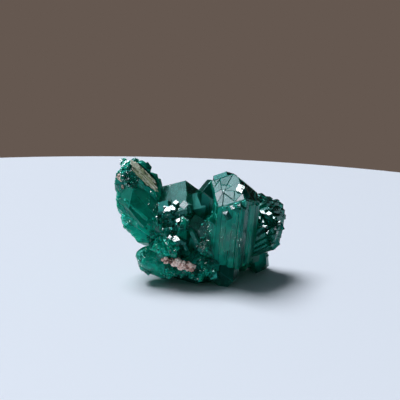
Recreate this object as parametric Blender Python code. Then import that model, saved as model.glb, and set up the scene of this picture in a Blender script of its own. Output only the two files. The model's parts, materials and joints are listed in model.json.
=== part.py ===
"""Dioptase: a thumbnail cluster of emerald-green crystals with three scraps of its rock.

Every crystal is a hexagonal prism closed by the three rhomb faces of dioptase, and all the crystals that
touch are joined in one solid. The cluster was broken off its rock along z = 0, so it rests on flat breaks.
The front, seen in the photograph, looks along +Y; lengths below are in millimetres, angles in degrees.
"""

import math
import random
from dataclasses import dataclass

import bmesh
import bpy
from mathutils import Matrix, Vector
from mathutils.noise import noise

MM = 0.001
RHOMB_SLOPE = 50.7          # angle between a rhomb face's normal and the crystal's long axis
BREAK_DEPTH = 12.0          # how far the tool that cuts the flat breaks reaches below z = 0
BREAK_WIDTH = 100.0         # and how wide it is
ROCK_GAP = 0.3              # clear gap between a scrap of rock and the crystals round it
SEED = 7


@dataclass
class Crystal:
    """One crystal, placed by its point: the corner where its three rhomb faces meet."""

    name: str
    tip: tuple              # x, y, z of the point
    lean: float             # its axis from the vertical
    toward: float           # compass direction it leans to, from +X round by +Y
    width: float            # across two opposite prism faces
    length: float           # from its point to its root
    turn: float = 0.0       # about its own axis; at 0 one rhomb face looks the way it leans
    thin: float = 1.0       # its second width as a share of the first
    cuts: tuple = ()        # further faces: direction round the axis, slope, depth below the point

    def frame(self):
        """Where the crystal stands and how it is turned."""
        place = Matrix.Translation(Vector(self.tip))
        heading = Matrix.Rotation(math.radians(self.toward), 4, 'Z')
        tilt = Matrix.Rotation(math.radians(self.lean), 4, 'Y')
        spin = Matrix.Rotation(math.radians(self.turn), 4, 'Z')
        return place @ heading @ tilt @ spin


GREAT_PRISM = [
    Crystal("great", (6.9, -6.0, 22.8), 19, -78, 8.2, 19, -54, cuts=((165, 44, 1.0),)),
    Crystal("great_left", (2.2, -3.6, 20.8), 19, -78, 4.4, 17, 6),
    Crystal("great_front", (3.2, -4.9, 15.6), 19, -78, 4.2, 12, -54),
    Crystal("great_back", (4.9, -4.0, 22.5), 18, -78, 4.2, 17, -54),
    Crystal("great_right", (9.0, -1.0, 17.4), 16, -66, 4.6, 14, -50),
]

CENTRE = [
    Crystal("centre", (-2.7, -0.8, 20.0), 14, -34, 9.6, 14, 18),
    Crystal("centre_step", (-2.6, -3.7, 17.8), 14, -34, 4.6, 4, 18),
    Crystal("centre_left", (-6.0, -3.4, 16.9), 14, -34, 3.2, 4, 18),
    Crystal("centre_right", (0.7, -1.8, 18.2), 13, -34, 5.4, 12, 18),
    Crystal("centre_low", (-3.6, -4.8, 15.2), 22, -60, 3.2, 5, 10),
]

FAN_HEART = (-7.4, 0.4, 8.8)                # where the blade's crystals spread from
FAN_REACH = [                               # angle left of upright, and how far the tip is from the heart
    (13, 13.4), (18, 14.9), (23, 16.0), (28, 15.9), (34, 15.2), (40, 13.9),
    (47, 12.2), (55, 10.5), (64, 9.0), (74, 7.4), (86, 5.8)]
FAN_ROWS = [(-0.6, 0.0, 0.0), (1.7, 60.0, 0.9), (3.6, 0.0, 2.0)]    # depth, turn and shortening of each row
FAN_WIDTH = 3.7
FAN_THIN = 0.85
FAN_ROOT = 0.8              # a fan crystal's length as a share of its reach
FAN_STAGGER = 0.5           # every second one is this much shorter

BLADE = [
    Crystal("blade_main", (-14.6, -0.8, 19.6), 42, 165, 6.4, 9, 74, 0.7),
    Crystal("blade_mid", (-13.4, -1.0, 14.2), 54, 178, 4.4, 8, 60, 0.7),
]

RIGHT = [
    Crystal("right_main", (16.5, 3.4, 12.0), 60, -16, 6.2, 13, -57),
    Crystal("right_shoulder", (15.5, 3.8, 13.9), 42, -6, 4.2, 12, -37),
    Crystal("right_top", (13.2, 3.4, 14.9), 22, -5, 4.0, 12, -37),
    Crystal("right_inner", (11.2, 1.0, 16.2), 9, -34, 3.6, 13, -38),
    Crystal("right_step", (14.6, 1.6, 10.4), 62, -24, 4.4, 9, 20),
    Crystal("right_low", (15.6, 2.8, 6.8), 92, -8, 3.6, 8, 46),
    Crystal("right_root", (11.8, 5.6, -1.2), 172, 30, 4.2, 10, 32),
]

LOWER_LEFT = [
    Crystal("lump_upper", (-11.9, -2.8, 6.4), 62, -172, 4.2, 9, 8),
    Crystal("lump_middle", (-11.7, -2.2, 4.0), 84, -167, 4.4, 9, 13),
    Crystal("lump_lower", (-10.2, -2.0, 2.6), 102, -160, 3.2, 8, 24),
]

BASE = [
    Crystal("base_front", (4.6, -4.2, -0.8), 152, -100, 4.4, 7, -46),
    Crystal("base_left", (-9.0, -1.4, 3.6), 92, 180, 4.8, 13, 0),
    Crystal("base_foot", (-6.0, 3.0, -1.5), 172, 180, 4.6, 8, 0),
    Crystal("base_middle", (0.5, -2.2, 2.0), 116, -100, 5.4, 8, 20),
    Crystal("heart_left", (-5.2, 1.0, 13.0), 4, 60, 6.6, 11, 20),
    Crystal("heart", (1.0, 3.0, 13.0), 4, 20, 9.6, 15, 0),
]

BACK = [
    Crystal("back_left", (-8.6, 6.2, 15.6), 32, 112, 5.2, 12, 20),
    Crystal("back_middle", (-2.0, 7.4, 17.0), 28, 96, 6.2, 14, 60),
    Crystal("back_right", (4.6, 7.6, 16.0), 34, 80, 5.6, 13, 30),
    Crystal("back_corner", (9.8, 7.8, 12.6), 50, 58, 5.0, 12, 0),
    Crystal("back_low", (-5.4, 9.2, 8.2), 74, 104, 5.0, 10, 45),
    Crystal("back_foot", (3.4, 9.6, 7.0), 80, 86, 5.4, 10, 15),
    Crystal("back_base", (6.6, 6.6, -1.4), 168, 40, 5.0, 9, 15),
]

# Patches of small crystals: middle, how far they spread along and across, lean and compass direction of
# the surface, how many, and their width.
DRUSE = [
    ((-4.6, -4.8, 12.6), (3.4, 1.4), 50, -90, 16, 1.8),
    ((-8.2, -3.2, 12.6), (1.6, 1.0), 50, -120, 8, 1.4),
    ((-5.8, -5.2, 8.8), (2.2, 1.6), 55, -90, 18, 1.3),
    ((-4.8, -5.2, 10.4), (2.4, 0.6), 35, -90, 4, 2.3),
    ((-1.6, -4.2, 7.4), (1.0, 0.8), 50, -80, 4, 1.2),
    ((0.6, -5.8, 10.4), (0.8, 2.6), 60, -110, 10, 1.0),
    ((-9.4, -3.2, 9.4), (1.4, 1.2), 60, -140, 8, 1.5),
    ((-10.4, -3.0, 5.6), (1.2, 1.3), 65, -140, 10, 1.7),
    ((-4.0, -4.0, 2.8), (5.4, 0.8), 105, -92, 18, 1.8),
    ((4.4, -4.0, 2.2), (1.8, 0.8), 110, -80, 5, 2.0),
    ((-13.6, 1.4, 22.5), (1.5, 1.3), 20, 180, 18, 1.5),
    ((-15.2, 0.8, 18.6), (1.6, 2.2), 72, 180, 12, 1.3),
]

DRUSE_RISE = 0.5            # how far a small crystal's point is above or below its patch, in its widths
DRUSE_STRAY = 0.7           # how far its axis strays from the patch's own direction, as a slope
DRUSE_WIDTHS = (0.6, 1.25)  # the narrowest and the widest, as shares of the patch's width
DRUSE_LENGTH = 2.4          # in widths

# Scraps of rock: name, middle, half sizes, lean and compass direction of its face, turn in the face,
# depth of its lumps and colour.
ROCK = [
    ("pink_matrix", (-4.1, -5.2, 5.2), (3.7, 1.5, 1.3), 78, -92, 8, 0.9, (0.5, 0.27, 0.21)),
    ("olive_matrix", (-11.1, -1.0, 20.3), (3.6, 0.9, 1.0), 80, -84, 44, 0.35, (0.3, 0.36, 0.2)),
    ("rim_matrix", (-15.2, -0.6, 20.2), (1.5, 0.6, 0.7), 80, -110, 80, 0.3, (0.5, 0.42, 0.36)),
]
ROCK_GRAIN = 1.1            # size of the lumps on the rock
ROCK_ROUNDING = 0.7         # 1 is an egg, and lower is nearer to a box
ROCK_LEVELS = 3             # how finely a scrap of rock is divided


def fan():
    """The rows of thin crystals that make the blade."""
    grown = []
    for depth, turn, shortening in FAN_ROWS:
        for step, (angle, reach) in enumerate(FAN_REACH):
            along = math.radians(angle)
            shorter = reach - shortening - (FAN_STAGGER if step % 2 else 0.0)
            tip = (FAN_HEART[0] - shorter * math.sin(along),
                   FAN_HEART[1] + depth,
                   FAN_HEART[2] + shorter * math.cos(along))
            grown.append(Crystal("fan", tip, angle, 180, FAN_WIDTH, FAN_ROOT * shorter, turn, FAN_THIN))
    return grown


def druse(dice):
    """The small crystals, scattered over their patches."""
    grown = []
    for middle, spread, lean, toward, count, width in DRUSE:
        surface = (Matrix.Translation(Vector(middle)) @ Matrix.Rotation(math.radians(toward), 4, 'Z')
                   @ Matrix.Rotation(math.radians(lean), 4, 'Y'))
        for _ in range(count):
            across = dice.uniform(-1.0, 1.0) * spread[1]
            along = dice.uniform(-1.0, 1.0) * spread[0]
            rise = dice.uniform(-DRUSE_RISE, DRUSE_RISE) * width
            tip = surface @ Vector((across, along, rise))
            slope_across = dice.uniform(-DRUSE_STRAY, DRUSE_STRAY)
            slope_along = dice.uniform(-DRUSE_STRAY, DRUSE_STRAY)
            axis = (surface.to_3x3() @ Vector((slope_across, slope_along, 1.0))).normalized()
            grown.append(Crystal(
                "druse", tuple(tip), math.degrees(math.acos(axis.z)),
                math.degrees(math.atan2(axis.y, axis.x)), width * dice.uniform(*DRUSE_WIDTHS),
                DRUSE_LENGTH * width, dice.uniform(0.0, 120.0)))
    return grown


def clear_scene():
    """Start from an empty file."""
    for thing in list(bpy.data.objects):
        bpy.data.objects.remove(thing, do_unlink=True)


def collection(name, parent):
    """A new collection inside another."""
    group = bpy.data.collections.new(name)
    parent.children.link(group)
    return group


def principled(name, colour, roughness, transmission=0.0, ior=1.5):
    """A plain material with the part's colour and finish."""
    made = bpy.data.materials.new(name)
    made.use_nodes = True
    shader = made.node_tree.nodes["Principled BSDF"]
    shader.inputs["Base Color"].default_value = (*colour, 1.0)
    shader.inputs["Roughness"].default_value = roughness
    shader.inputs["Metallic"].default_value = 0.0
    shader.inputs["Transmission Weight"].default_value = transmission
    shader.inputs["IOR"].default_value = ior
    return made


def slice_off(bm, point, normal):
    """Cut away what lies beyond a plane and close the cut."""
    everything = bm.verts[:] + bm.edges[:] + bm.faces[:]
    bmesh.ops.bisect_plane(bm, geom=everything, plane_co=point, plane_no=normal, clear_outer=True)
    rim = [edge for edge in bm.edges if edge.is_boundary]
    if rim:
        bmesh.ops.holes_fill(bm, edges=rim, sides=0)


def face_normal(azimuth, slope):
    """Outward normal of a face that looks along a direction round the axis, and its angle to the axis."""
    away = math.radians(slope)
    turn = math.radians(azimuth)
    return Vector((math.sin(away) * math.cos(turn), math.sin(away) * math.sin(turn), math.cos(away)))


def grow(crystal):
    """One crystal as its own closed mesh."""
    corner = crystal.width / math.sqrt(3.0)
    hang = Matrix.Translation((0.0, 0.0, -0.5 * crystal.length)) @ Matrix.Rotation(math.radians(30.0), 4, 'Z')
    bm = bmesh.new()
    bmesh.ops.create_cone(
        bm, cap_ends=True, segments=6, radius1=corner, radius2=corner, depth=crystal.length, matrix=hang)
    for face in range(3):
        slice_off(bm, Vector((0.0, 0.0, 0.0)), face_normal(120.0 * face, RHOMB_SLOPE))
    for azimuth, slope, depth in crystal.cuts:
        slice_off(bm, Vector((0.0, 0.0, -depth)), face_normal(azimuth, slope))
    bmesh.ops.scale(bm, vec=(1.0, crystal.thin, 1.0), verts=bm.verts[:])
    bmesh.ops.transform(bm, matrix=Matrix.Scale(MM, 4) @ crystal.frame(), verts=bm.verts[:])
    bmesh.ops.recalc_face_normals(bm, faces=bm.faces[:])
    return bm


def as_object(bm, name, group):
    """Finish a mesh and link it as an object."""
    mesh = bpy.data.meshes.new(name)
    bm.to_mesh(mesh)
    bm.free()
    thing = bpy.data.objects.new(name, mesh)
    group.objects.link(thing)
    return thing


def as_cutter(thing):
    """Keep an object for cutting and joining only."""
    thing.hide_render = True
    thing.display_type = 'WIRE'
    return thing


def boolean(target, name, operation, tools):
    """Join a collection of closed meshes to an object, or cut them from it."""
    step = target.modifiers.new(name, 'BOOLEAN')
    step.operation = operation
    step.operand_type = 'COLLECTION'
    step.collection = tools
    step.solver = 'MANIFOLD'    # the exact solver drops some of these crystals where many of them cross


def rock(middle, half, lean, toward, turn, lumps, grow_by=0.0):
    """A scrap of rock, or with grow_by the socket that it sits in."""
    bm = bmesh.new()
    bmesh.ops.create_icosphere(bm, subdivisions=ROCK_LEVELS, radius=1.0)
    place = (Matrix.Translation(Vector(middle)) @ Matrix.Rotation(math.radians(toward), 4, 'Z')
             @ Matrix.Rotation(math.radians(lean), 4, 'Y') @ Matrix.Rotation(math.radians(90.0 - turn), 4, 'Z'))
    for vert in bm.verts:
        way = vert.co.normalized()
        boxed = Vector([math.copysign(abs(part) ** ROCK_ROUNDING, part) for part in way])
        at = Vector((boxed.x * half[0], boxed.y * half[2], boxed.z * half[1]))
        swell = 0.5 * lumps * noise(at / ROCK_GRAIN + Vector(middle))
        vert.co = at + way * (swell + grow_by)
    bmesh.ops.transform(bm, matrix=Matrix.Scale(MM, 4) @ place, verts=bm.verts[:])
    return bm


def join_cluster(parts, cutters):
    """All the crystals as one solid, with sockets for the rock, cut flat where the cluster broke off."""
    dice = random.Random(SEED)
    heart = BASE[-1]
    solid = as_object(grow(heart), "dioptase_crystals", parts)
    crystals = collection("joined crystals", cutters)
    others = GREAT_PRISM + CENTRE + fan() + BLADE + RIGHT + LOWER_LEFT + BACK + druse(dice) + BASE[:-1]
    for crystal in others:
        as_cutter(as_object(grow(crystal), crystal.name, crystals))
    boolean(solid, "grown together", 'UNION', crystals)
    sockets = collection("sockets and breaks", cutters)
    for name, *shape, _ in ROCK:
        as_cutter(as_object(rock(*shape, ROCK_GAP), name + "_socket", sockets))
    floor = bmesh.new()
    bmesh.ops.create_cube(floor, size=MM)
    bmesh.ops.scale(floor, vec=(BREAK_WIDTH, BREAK_WIDTH, BREAK_DEPTH), verts=floor.verts[:])
    bmesh.ops.translate(floor, vec=(0.0, 0.0, -0.5 * BREAK_DEPTH * MM), verts=floor.verts[:])
    as_cutter(as_object(floor, "flat_break", sockets))
    boolean(solid, "sockets and breaks", 'DIFFERENCE', sockets)
    return solid_through(solid)


def reach(island):
    """How wide a set of points spreads."""
    places = [[vert.co[axis] for vert in island] for axis in range(3)]
    return sum(max(along) - min(along) for along in places)


def solid_through(thing):
    """Fill the pockets left closed between crystals: of the finished mesh only its outer skin is kept."""
    bpy.context.view_layer.update()
    depsgraph = bpy.context.evaluated_depsgraph_get()
    mesh = bpy.data.meshes.new_from_object(thing.evaluated_get(depsgraph), depsgraph=depsgraph)
    thing.modifiers.clear()
    bm = bmesh.new()
    bm.from_mesh(mesh)
    unseen = set(bm.verts)
    islands = []
    while unseen:
        island = set()
        edge_of_search = [unseen.pop()]
        while edge_of_search:
            vert = edge_of_search.pop()
            island.add(vert)
            for edge in vert.link_edges:
                other = edge.other_vert(vert)
                if other in unseen:
                    unseen.remove(other)
                    edge_of_search.append(other)
        islands.append(island)
    skin = max(islands, key=reach)
    for island in islands:
        if island is not skin:
            bmesh.ops.delete(bm, geom=list(island), context='VERTS')
    bm.to_mesh(mesh)
    bm.free()
    mesh.materials.clear()
    thing.data = mesh
    return thing


def main():
    """Build the cluster."""
    clear_scene()
    parts = collection("dioptase", bpy.context.scene.collection)
    cutters = collection("dioptase cutters", bpy.context.scene.collection)
    crystals = join_cluster(parts, cutters)
    crystals.data.materials.append(principled("dioptase", (0.0, 0.12, 0.085), 0.12, 0.6, 1.67))
    for name, *shape, colour in ROCK:
        scrap = as_object(rock(*shape), name, parts)
        scrap.data.materials.append(principled(name, colour, 0.85))


main()
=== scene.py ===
"""Dioptase: the looks of a thumbnail cluster of emerald-green crystals with three scraps of its rock.

The crystals of the CAD solid are grown again here with the steps, ribs, chamfers and mosaic faces of real
ones, joined in one solid, and covered in places with a druse of very small crystals. Sizes of the stone
are in millimetres and angles in degrees; the finished meshes, lights and camera are in metres.
"""

import json
import logging
import math
import random
from dataclasses import dataclass, field, replace
from enum import Enum

import bmesh
import bpy
import numpy as np
from mathutils import Matrix, Vector
from mathutils.noise import noise

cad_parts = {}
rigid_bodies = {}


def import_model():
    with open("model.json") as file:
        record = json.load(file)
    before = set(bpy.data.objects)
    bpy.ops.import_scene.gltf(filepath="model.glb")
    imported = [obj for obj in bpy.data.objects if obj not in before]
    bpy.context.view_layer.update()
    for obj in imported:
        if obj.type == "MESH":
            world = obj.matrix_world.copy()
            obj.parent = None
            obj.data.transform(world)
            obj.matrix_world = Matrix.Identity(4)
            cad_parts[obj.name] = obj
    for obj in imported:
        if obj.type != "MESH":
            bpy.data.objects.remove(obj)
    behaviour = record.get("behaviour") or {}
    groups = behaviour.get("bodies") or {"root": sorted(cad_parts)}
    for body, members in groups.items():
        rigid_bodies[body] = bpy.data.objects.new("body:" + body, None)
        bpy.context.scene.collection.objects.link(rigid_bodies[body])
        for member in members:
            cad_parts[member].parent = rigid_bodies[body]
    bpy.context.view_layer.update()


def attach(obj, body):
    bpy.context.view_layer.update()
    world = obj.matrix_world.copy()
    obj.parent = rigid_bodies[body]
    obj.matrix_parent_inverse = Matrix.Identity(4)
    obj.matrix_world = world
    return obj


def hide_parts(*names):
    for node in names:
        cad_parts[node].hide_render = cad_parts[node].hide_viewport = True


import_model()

log = logging.getLogger("dioptase")

MM = 0.001
SEED = 7
BODY = "root"

RHOMB_SLOPE = 50.7          # angle between a rhomb face's normal and the crystal's long axis
SIDES = 6
CHAMFER = 0.045             # width taken off a crystal's edges
RISER = 0.02                # how far a step between two ribs leans
BREAK_DEPTH = 12.0          # how far the tool that cuts the flat breaks reaches below z = 0
BREAK_WIDTH = 100.0
ROCK_GAP = 0.03             # clear gap between a scrap of rock and the crystals round it
DULLEST = 0.8               # polish of the best of the faces that don't mirror a lamp
MOSAIC_MILK = 0.01          # the blocks of a mosaic face are clear
GAP_POLISH = 0.15
WORN_POLISH = 0.48
WEAR = 6.0                  # how sharp a rounded crystal still is
GRAIN_MAP = "grain"         # UV map in millimetres: across a face, and up it along the crystal's growth

VIEW_ELEVATION = 15.0
TO_VIEWER = Vector((0.0, -math.cos(math.radians(VIEW_ELEVATION)), math.sin(math.radians(VIEW_ELEVATION))))


class Lamp(Enum):
    """The lamps that faces mirror, by their direction from the stone."""

    KEY = (-0.32, 0.2, 0.92)
    PANE = (-0.6, -0.45, 0.66)
    CURTAIN = (-0.75, -0.4, 0.52)

    @property
    def way(self) -> Vector:
        """From the stone towards the lamp."""
        return Vector(self.value).normalized()

    @property
    def mirror(self) -> Vector:
        """Where a face looks that mirrors the lamp to the viewer."""
        return (self.way + TO_VIEWER).normalized()


class Habit(Enum):
    """How a crystal's faces grew."""

    SMOOTH = "plain faces"
    RIBBED = "prism faces in steps along the axis"
    BLOCKY = "ribbed, with rhomb faces broken into low blocks"
    ROUNDED = "every edge partly dissolved away"


@dataclass(frozen=True)
class Crystal:
    """One crystal, placed by its point: the corner where its three rhomb faces meet."""

    name: str
    tip: tuple[float, float, float]
    lean: float                         # its axis from the vertical
    toward: float                       # compass direction it leans to, from +X round by +Y
    width: float                        # across two opposite prism faces
    length: float                       # from its point to its root
    turn: float = 0.0                   # about its own axis; at 0 one rhomb face looks the way it leans
    thin: float = 1.0                   # its second width as a share of the first
    cuts: tuple[tuple[float, float, float], ...] = ()   # further faces: azimuth, slope, depth below the point
    habit: Habit = Habit.SMOOTH
    ribs: tuple[int, ...] = (3, 3, 3, 3, 3, 3)          # how many ribs each prism face has
    step: float = 0.06                  # how deep the steps between ribs are
    cloud: float = 0.3                  # how milky it is, 0 to 1
    shine: float = 0.0                  # the polish of its faces, 0 to 1, or 0 where each has its own
    sides: float = 0.8                  # the prism faces' polish as a share of that

    def frame(self) -> Matrix:
        """Where the crystal stands and how it is turned, in millimetres."""
        place = Matrix.Translation(Vector(self.tip))
        heading = Matrix.Rotation(math.radians(self.toward), 4, 'Z')
        tilt = Matrix.Rotation(math.radians(self.lean), 4, 'Y')
        spin = Matrix.Rotation(math.radians(self.turn), 4, 'Z')
        return place @ heading @ tilt @ spin

    def roof(self, x: float, y: float) -> float:
        """Height of its rhomb faces over a place in its own cross-section."""
        rise = math.tan(math.radians(RHOMB_SLOPE))
        return min(-rise * (x * math.cos(math.radians(120.0 * k)) + y * math.sin(math.radians(120.0 * k)))
                   for k in range(3))


def slice_off(bm: bmesh.types.BMesh, point: Vector, normal: Vector) -> None:
    """Cut away what lies beyond a plane and close the cut.

    Args:
        bm: The mesh to cut.
        point: A point of the plane.
        normal: The plane's normal, towards what goes.
    """
    everything = bm.verts[:] + bm.edges[:] + bm.faces[:]
    bmesh.ops.bisect_plane(bm, geom=everything, plane_co=point, plane_no=normal, clear_outer=True)
    rim = [edge for edge in bm.edges if edge.is_boundary]
    if rim:
        bmesh.ops.holes_fill(bm, edges=rim, sides=0)


def face_normal(azimuth: float, slope: float) -> Vector:
    """Outward normal of a face that looks along a direction round the axis, at an angle to the axis."""
    away = math.radians(slope)
    turn = math.radians(azimuth)
    return Vector((math.sin(away) * math.cos(turn), math.sin(away) * math.sin(turn), math.cos(away)))


class Grower:
    """Makes the mesh of a crystal, in its own frame or in place."""

    def __init__(self, dice: random.Random) -> None:
        """Keep the dice that every random choice is drawn from."""
        self.dice = dice

    def side(self, start: Vector, end: Vector, ribs: int, step: float) -> list[Vector]:
        """Outline of one prism face from corner to corner, stepped where it has ribs.

        Args:
            start: The face's first corner in the cross-section.
            end: Its second corner, anticlockwise.
            ribs: How many ribs run along the face.
            step: The deepest step between them.

        Returns:
            The points of the outline, with the corners taken off.
        """
        along = (end - start).normalized()
        inward = Vector((-along.y, along.x, 0.0))
        room = (end - start).length - 2.0 * CHAMFER
        points = [start + along * CHAMFER]
        level = 0.0
        for rib in range(1, ribs):
            border = CHAMFER + room * (rib + self.dice.uniform(-0.32, 0.32)) / ribs
            points.append(start + along * (border - RISER) + inward * level)
            level = step * self.dice.random() ** 1.5 if level == 0.0 or self.dice.random() < 0.6 else 0.0
            points.append(start + along * (border + RISER) + inward * level)
        points.append(start + along * (room + CHAMFER) + inward * level)
        return points

    def worn(self, crystal: Crystal) -> bmesh.types.BMesh:
        """The form of a crystal with its edges dissolved away: a ball swollen towards all its faces."""
        bm = bmesh.new()
        facet = self.layer(bm, "facet")
        bmesh.ops.create_icosphere(bm, subdivisions=4, radius=1.0)
        middle = Vector((0.0, 0.0, -0.5 * crystal.length))
        walls = [(face_normal(30.0 + 60.0 * k, 90.0), 0.5 * crystal.width) for k in range(SIDES)]
        walls += [(face_normal(120.0 * k, RHOMB_SLOPE), -middle.dot(face_normal(120.0 * k, RHOMB_SLOPE)))
                  for k in range(3)]
        walls.append((Vector((0.0, 0.0, -1.0)), 0.5 * crystal.length))
        for vert in bm.verts:
            way = vert.co.normalized()
            pull = sum(max(0.0, way.dot(normal) / reach) ** WEAR for normal, reach in walls)
            vert.co = way * pull ** (-1.0 / WEAR) + middle
        for face in bm.faces:
            face.smooth = True
            face[facet] = WORN_POLISH
        return bm

    def body(self, crystal: Crystal) -> bmesh.types.BMesh:
        """The crystal's closed form, its point at the origin and its axis up, in millimetres."""
        bm = bmesh.new()
        corner = crystal.width / math.sqrt(3.0)
        if crystal.habit is Habit.SMOOTH:
            bmesh.ops.create_cone(
                bm, cap_ends=True, segments=SIDES, radius1=corner, radius2=corner, depth=crystal.length,
                matrix=Matrix.Translation((0.0, 0.0, -0.5 * crystal.length)) @ Matrix.Rotation(math.pi / 6, 4, 'Z'))
        else:
            corners = [Vector((corner * math.cos(k * math.pi / 3), corner * math.sin(k * math.pi / 3), 0.0))
                       for k in range(SIDES + 1)]
            outline = []
            for k in range(SIDES):
                outline += self.side(corners[k], corners[k + 1], crystal.ribs[k], crystal.step)
            top = bm.faces.new([bm.verts.new(point) for point in outline])
            grown = bmesh.ops.extrude_face_region(bm, geom=[top], use_keep_orig=True)
            moved = [part for part in grown["geom"] if isinstance(part, bmesh.types.BMVert)]
            bmesh.ops.translate(bm, vec=(0.0, 0.0, -crystal.length), verts=moved)
            bmesh.ops.recalc_face_normals(bm, faces=bm.faces[:])
        return bm

    def point(self, bm: bmesh.types.BMesh, crystal: Crystal) -> None:
        """Cut the three rhomb faces, any further faces, and the chamfers along their edges."""
        origin = Vector((0.0, 0.0, 0.0))
        rhombs = [face_normal(120.0 * k, RHOMB_SLOPE) for k in range(3)]
        for normal in rhombs:
            slice_off(bm, origin, normal)
        for azimuth, slope, depth in crystal.cuts:
            slice_off(bm, Vector((0.0, 0.0, -depth)), face_normal(azimuth, slope))
        if crystal.width < 2.5:
            return
        for k, normal in enumerate(rhombs):
            between = (normal + rhombs[(k + 1) % 3]).normalized()
            slice_off(bm, -between * CHAMFER * self.dice.uniform(0.4, 1.2), between)
            for azimuth in (120.0 * k - 30.0, 120.0 * k + 30.0):
                both = normal + face_normal(azimuth, 90.0)
                edge = 0.5 * crystal.width / both.length - CHAMFER * self.dice.uniform(0.3, 1.0)
                slice_off(bm, both.normalized() * edge, both.normalized())

    def blocks(self, bm: bmesh.types.BMesh, normal: Vector, size: float, relief: float, tilt: float) -> None:
        """Break one rhomb face into a mosaic of low blocks with fine gaps, as the growth layers do.

        Args:
            bm: The crystal in its own frame.
            normal: Normal of the face.
            size: How wide a block is.
            relief: How far the highest block stands out.
            tilt: How far a block leans, in degrees.
        """
        facet = self.layer(bm, "facet")
        milk = self.layer(bm, "milk")
        bm.normal_update()
        level_with = [face for face in bm.faces if face.normal.dot(normal) > 0.999]
        if not level_with:
            return
        face = max(level_with, key=lambda part: part.calc_area())
        uphill = (Vector((0.0, 0.0, 1.0)) - normal * normal.z).normalized()
        level = normal.cross(uphill)
        for tile in self.shatter(bm, face, normal, uphill, size):
            if tile.calc_area() < 0.02 * size * size:
                continue
            gap = bmesh.ops.inset_individual(bm, faces=[tile], thickness=self.dice.choice((0.03, 0.06, 0.12)),
                                             depth=0.0, use_even_offset=True)
            for part in gap["faces"]:
                part[facet] = GAP_POLISH
                part[milk] = MOSAIC_MILK
            tile[facet] = self.dice.uniform(0.78, 1.0)
            tile[milk] = MOSAIC_MILK
            rise = relief * self.dice.random()
            slopes = [math.radians(self.dice.gauss(0.0, tilt)) for _ in range(2)]
            centre = tile.calc_center_median()
            for vert in tile.verts:
                away = vert.co - centre
                vert.co += normal * (rise + slopes[0] * away.dot(level) + slopes[1] * away.dot(uphill))

    def shatter(self, bm: bmesh.types.BMesh, face: bmesh.types.BMFace, normal: Vector, uphill: Vector,
                size: float) -> list[bmesh.types.BMFace]:
        """Cut a face in two again and again, along the two cleavage lines or level, until it is in blocks.

        Args:
            bm: The mesh.
            face: The flat face.
            normal: Its normal.
            uphill: The direction in it towards the crystal's point.
            size: About how wide the blocks get.

        Returns:
            The blocks' faces.
        """
        if face.calc_area() < size * size * self.dice.uniform(0.4, 2.2):
            return [face]
        tries = []
        for turn in self.dice.sample((0.0, 56.0, -56.0, 90.0), 3):
            across = Matrix.Rotation(math.radians(turn + self.dice.gauss(0.0, 12.0)), 3, normal) @ uphill
            spans = [vert.co.dot(across) for vert in face.verts]
            tries.append((max(spans) - min(spans), min(spans), across))
        span, low, across = max(tries, key=lambda t: t[0])
        at = low + span * self.dice.uniform(0.33, 0.67)
        cut = bmesh.ops.bisect_plane(bm, geom=[face, *face.edges, *face.verts], plane_co=across * at,
                                     plane_no=across)
        halves = [part for part in cut["geom"] if isinstance(part, bmesh.types.BMFace)]
        if len(halves) < 2:
            return halves
        return [block for half in halves for block in self.shatter(bm, half, normal, uphill, size)]

    @staticmethod
    def layer(bm: bmesh.types.BMesh, name: str) -> bmesh.types.BMLayerItem:
        """A number that every face carries, made if it isn't there yet."""
        layers = bm.faces.layers.float
        return layers.get(name) or layers.new(name)

    def mark(self, bm: bmesh.types.BMesh, cloud: float, shine: float = 0.0, sides: float = 1.0) -> None:
        """Give every face its place in the grain map, a polish of its own and the crystal's milkiness."""
        grain = bm.loops.layers.uv.new(GRAIN_MAP)
        facet = self.layer(bm, "facet")
        milk = self.layer(bm, "milk")
        shift = Vector((self.dice.uniform(0.0, 50.0), self.dice.uniform(0.0, 50.0)))
        bm.normal_update()
        for face in bm.faces:
            across = Vector((0.0, 0.0, 1.0)).cross(face.normal)
            across = across.normalized() if across.length > 0.01 else Vector((1.0, 0.0, 0.0))
            up = face.normal.cross(across)
            if face[facet] == 0.0:
                face[facet] = shine * self.dice.uniform(0.92, 1.0) if shine else DULLEST * self.dice.random()
                if abs(face.normal.z) < 0.2:
                    face[facet] *= sides
            if face[milk] == 0.0:
                face[milk] = cloud
            for loop in face.loops:
                loop[grain].uv = (loop.vert.co.dot(across) + shift.x, loop.vert.co.dot(up) + shift.y)

    def grow(self, crystal: Crystal) -> bmesh.types.BMesh:
        """The finished crystal in its own frame, in millimetres."""
        if crystal.habit is Habit.ROUNDED:
            bm = self.worn(crystal)
        else:
            bm = self.body(crystal)
            self.point(bm, crystal)
        if crystal.habit is Habit.BLOCKY:
            for k in range(3):
                self.blocks(bm, face_normal(120.0 * k, RHOMB_SLOPE), 1.6, 0.12, 2.2)
        self.mark(bm, crystal.cloud, crystal.shine, crystal.sides)
        bmesh.ops.scale(bm, vec=(1.0, crystal.thin, 1.0), verts=bm.verts[:])
        return bm

    def grow_in_place(self, crystal: Crystal) -> bmesh.types.BMesh:
        """The finished crystal where it stands, in metres."""
        bm = self.grow(crystal)
        bmesh.ops.transform(bm, matrix=Matrix.Scale(MM, 4) @ crystal.frame(), verts=bm.verts[:])
        bmesh.ops.recalc_face_normals(bm, faces=bm.faces[:])
        return bm


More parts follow.
